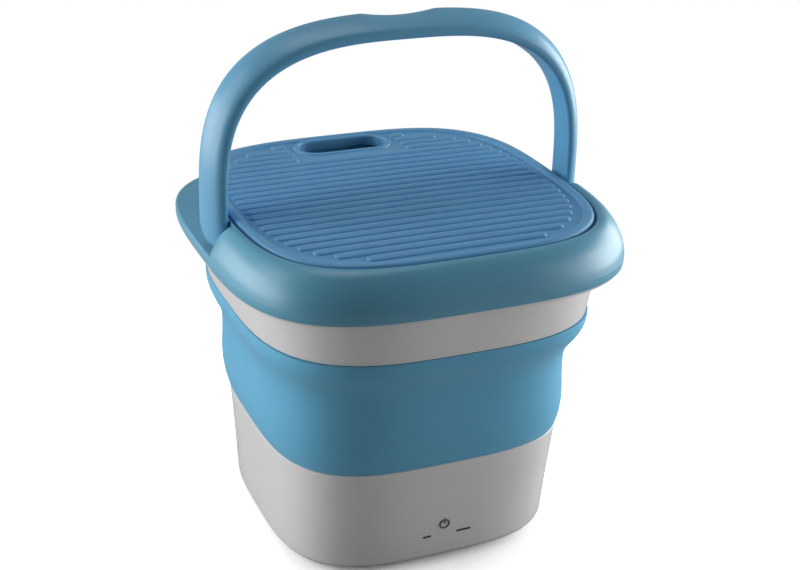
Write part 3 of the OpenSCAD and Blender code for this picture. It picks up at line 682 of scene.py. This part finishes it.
# Skirt under the lid
skirt = ring("lid_skirt", fillet([
    (115.2, SEAT + 6, 0), (117.6, SEAT + 6, 0), (117.6, SEAT - 9, 0.8), (115.2, SEAT - 9, 0.8)],
    steps=3), "lid_body")
finish_with(sharpen(skirt, 50), LID)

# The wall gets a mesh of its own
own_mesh(wall)

# ---------------------------------------------------------------- stage, light and camera
def shader_nodes(owner):
    """The owner's node tree, emptied, and its functions for adding and linking nodes."""
    owner.use_nodes = True
    tree = owner.node_tree
    tree.nodes.clear()
    return tree.nodes.new, tree.links.new


floor_points = [(-6000, -6000, 0), (6000, -6000, 0), (6000, 6000, 0), (-6000, 6000, 0)]
floor = new_object("floor", floor_points, [(0, 1, 2, 3)], None, smooth=False)
floor_material = bpy.data.materials.new("pale_floor")
add, link = shader_nodes(floor_material)
speckle = add("ShaderNodeTexNoise")
speckle.inputs["Scale"].default_value = 3
sweep, seen_sweep = add("ShaderNodeValToRGB"), add("ShaderNodeValToRGB")
for ramp_node, level in ((sweep, FLOOR_TONE), (seen_sweep, FLOOR_SEEN)):
    ramp_node.color_ramp.elements[0].color = (level * 0.99, level * 0.99, level * 0.995, 1)
    ramp_node.color_ramp.elements[1].color = (level * 1.01, level * 1.01, level * 1.015, 1)
    link(speckle.outputs["Fac"], ramp_node.inputs["Fac"])
rays = add("ShaderNodeLightPath")
pick = add("ShaderNodeMix")
pick.data_type = "RGBA"
link(rays.outputs["Is Camera Ray"], pick.inputs["Factor"])
link(sweep.outputs["Color"], pick.inputs["A"])
link(seen_sweep.outputs["Color"], pick.inputs["B"])
matt = add("ShaderNodeBsdfDiffuse")
link(pick.outputs["Result"], matt.inputs["Color"])
# Away from the object the floor runs out into the white of the backdrop
apart = add("ShaderNodeVectorMath")
apart.operation = "LENGTH"
link(add("ShaderNodeTexCoord").outputs["Object"], apart.inputs[0])
fade = add("ShaderNodeMapRange")
fade.interpolation_type = "SMOOTHSTEP"
fade.inputs["From Min"].default_value = 0.25
fade.inputs["From Max"].default_value = 0.6
link(apart.outputs["Value"], fade.inputs["Value"])
far_and_seen = add("ShaderNodeMath")
far_and_seen.operation = "MULTIPLY"
link(fade.outputs["Result"], far_and_seen.inputs[0])
link(rays.outputs["Is Camera Ray"], far_and_seen.inputs[1])
blend_floor = add("ShaderNodeMixShader")
link(far_and_seen.outputs[0], blend_floor.inputs["Fac"])
link(matt.outputs[0], blend_floor.inputs[1])
link(add("ShaderNodeEmission").outputs[0], blend_floor.inputs[2])
link(blend_floor.outputs[0], add("ShaderNodeOutputMaterial").inputs["Surface"])
floor.data.materials.append(floor_material)


def soft_light(name, at, to, width, height, power):
    """A rectangular soft panel at a point, facing another."""
    data = bpy.data.lights.new(name, "AREA")
    data.shape = "RECTANGLE"
    data.size, data.size_y = width, height
    data.energy = power
    obj = bpy.data.objects.new(name, data)
    bpy.context.scene.collection.objects.link(obj)
    obj.location = at
    obj.rotation_mode = "QUATERNION"
    obj.rotation_quaternion = (Vector(to) - Vector(at)).to_track_quat("-Z", "Y")


for light in LIGHTS:
    soft_light(*light)

# The room is white behind the object and dim in front of it
world = bpy.data.worlds.new("studio")
bpy.context.scene.world = world
add, link = shader_nodes(world)
split = add("ShaderNodeSeparateXYZ")
link(add("ShaderNodeTexCoord").outputs["Generated"], split.inputs["Vector"])
depth = add("ShaderNodeMapRange")
depth.interpolation_type = "SMOOTHSTEP"
depth.inputs["From Min"].default_value = -0.3
depth.inputs["From Max"].default_value = 0.6
depth.inputs["To Min"].default_value = ROOM_FRONT
depth.inputs["To Max"].default_value = ROOM_BACK
link(split.outputs["Y"], depth.inputs["Value"])
room, backdrop = add("ShaderNodeBackground"), add("ShaderNodeBackground")
link(depth.outputs["Result"], room.inputs["Strength"])
choose = add("ShaderNodeMixShader")
link(add("ShaderNodeLightPath").outputs["Is Camera Ray"], choose.inputs["Fac"])
link(room.outputs[0], choose.inputs[1])
link(backdrop.outputs[0], choose.inputs[2])
link(choose.outputs[0], add("ShaderNodeOutputWorld").inputs["Surface"])

# The camera stands to the front left, a little above the handle
azimuth, elevation, roll = math.radians(-23.693), math.radians(24.397), math.radians(1.717)
distance, target = 1.0876, Vector((0.0067, 0.0, 0.1727))
away = Vector((math.sin(azimuth) * math.cos(elevation), -math.cos(azimuth) * math.cos(elevation),
               math.sin(elevation)))
cam_data = bpy.data.cameras.new("camera")
cam_data.sensor_width, cam_data.lens = 36, 66.71
cam_data.clip_start, cam_data.clip_end = 0.05, 60
camera = bpy.data.objects.new("camera", cam_data)
bpy.context.scene.collection.objects.link(camera)
camera.location = target + away * distance
camera.rotation_mode = "QUATERNION"
level_view = (-away).to_track_quat("-Z", "Y").to_matrix()
camera.rotation_quaternion = (level_view @ Matrix.Rotation(roll, 3, "Z")).to_quaternion()
bpy.context.scene.camera = camera
bpy.context.scene.view_settings.view_transform = "Standard"
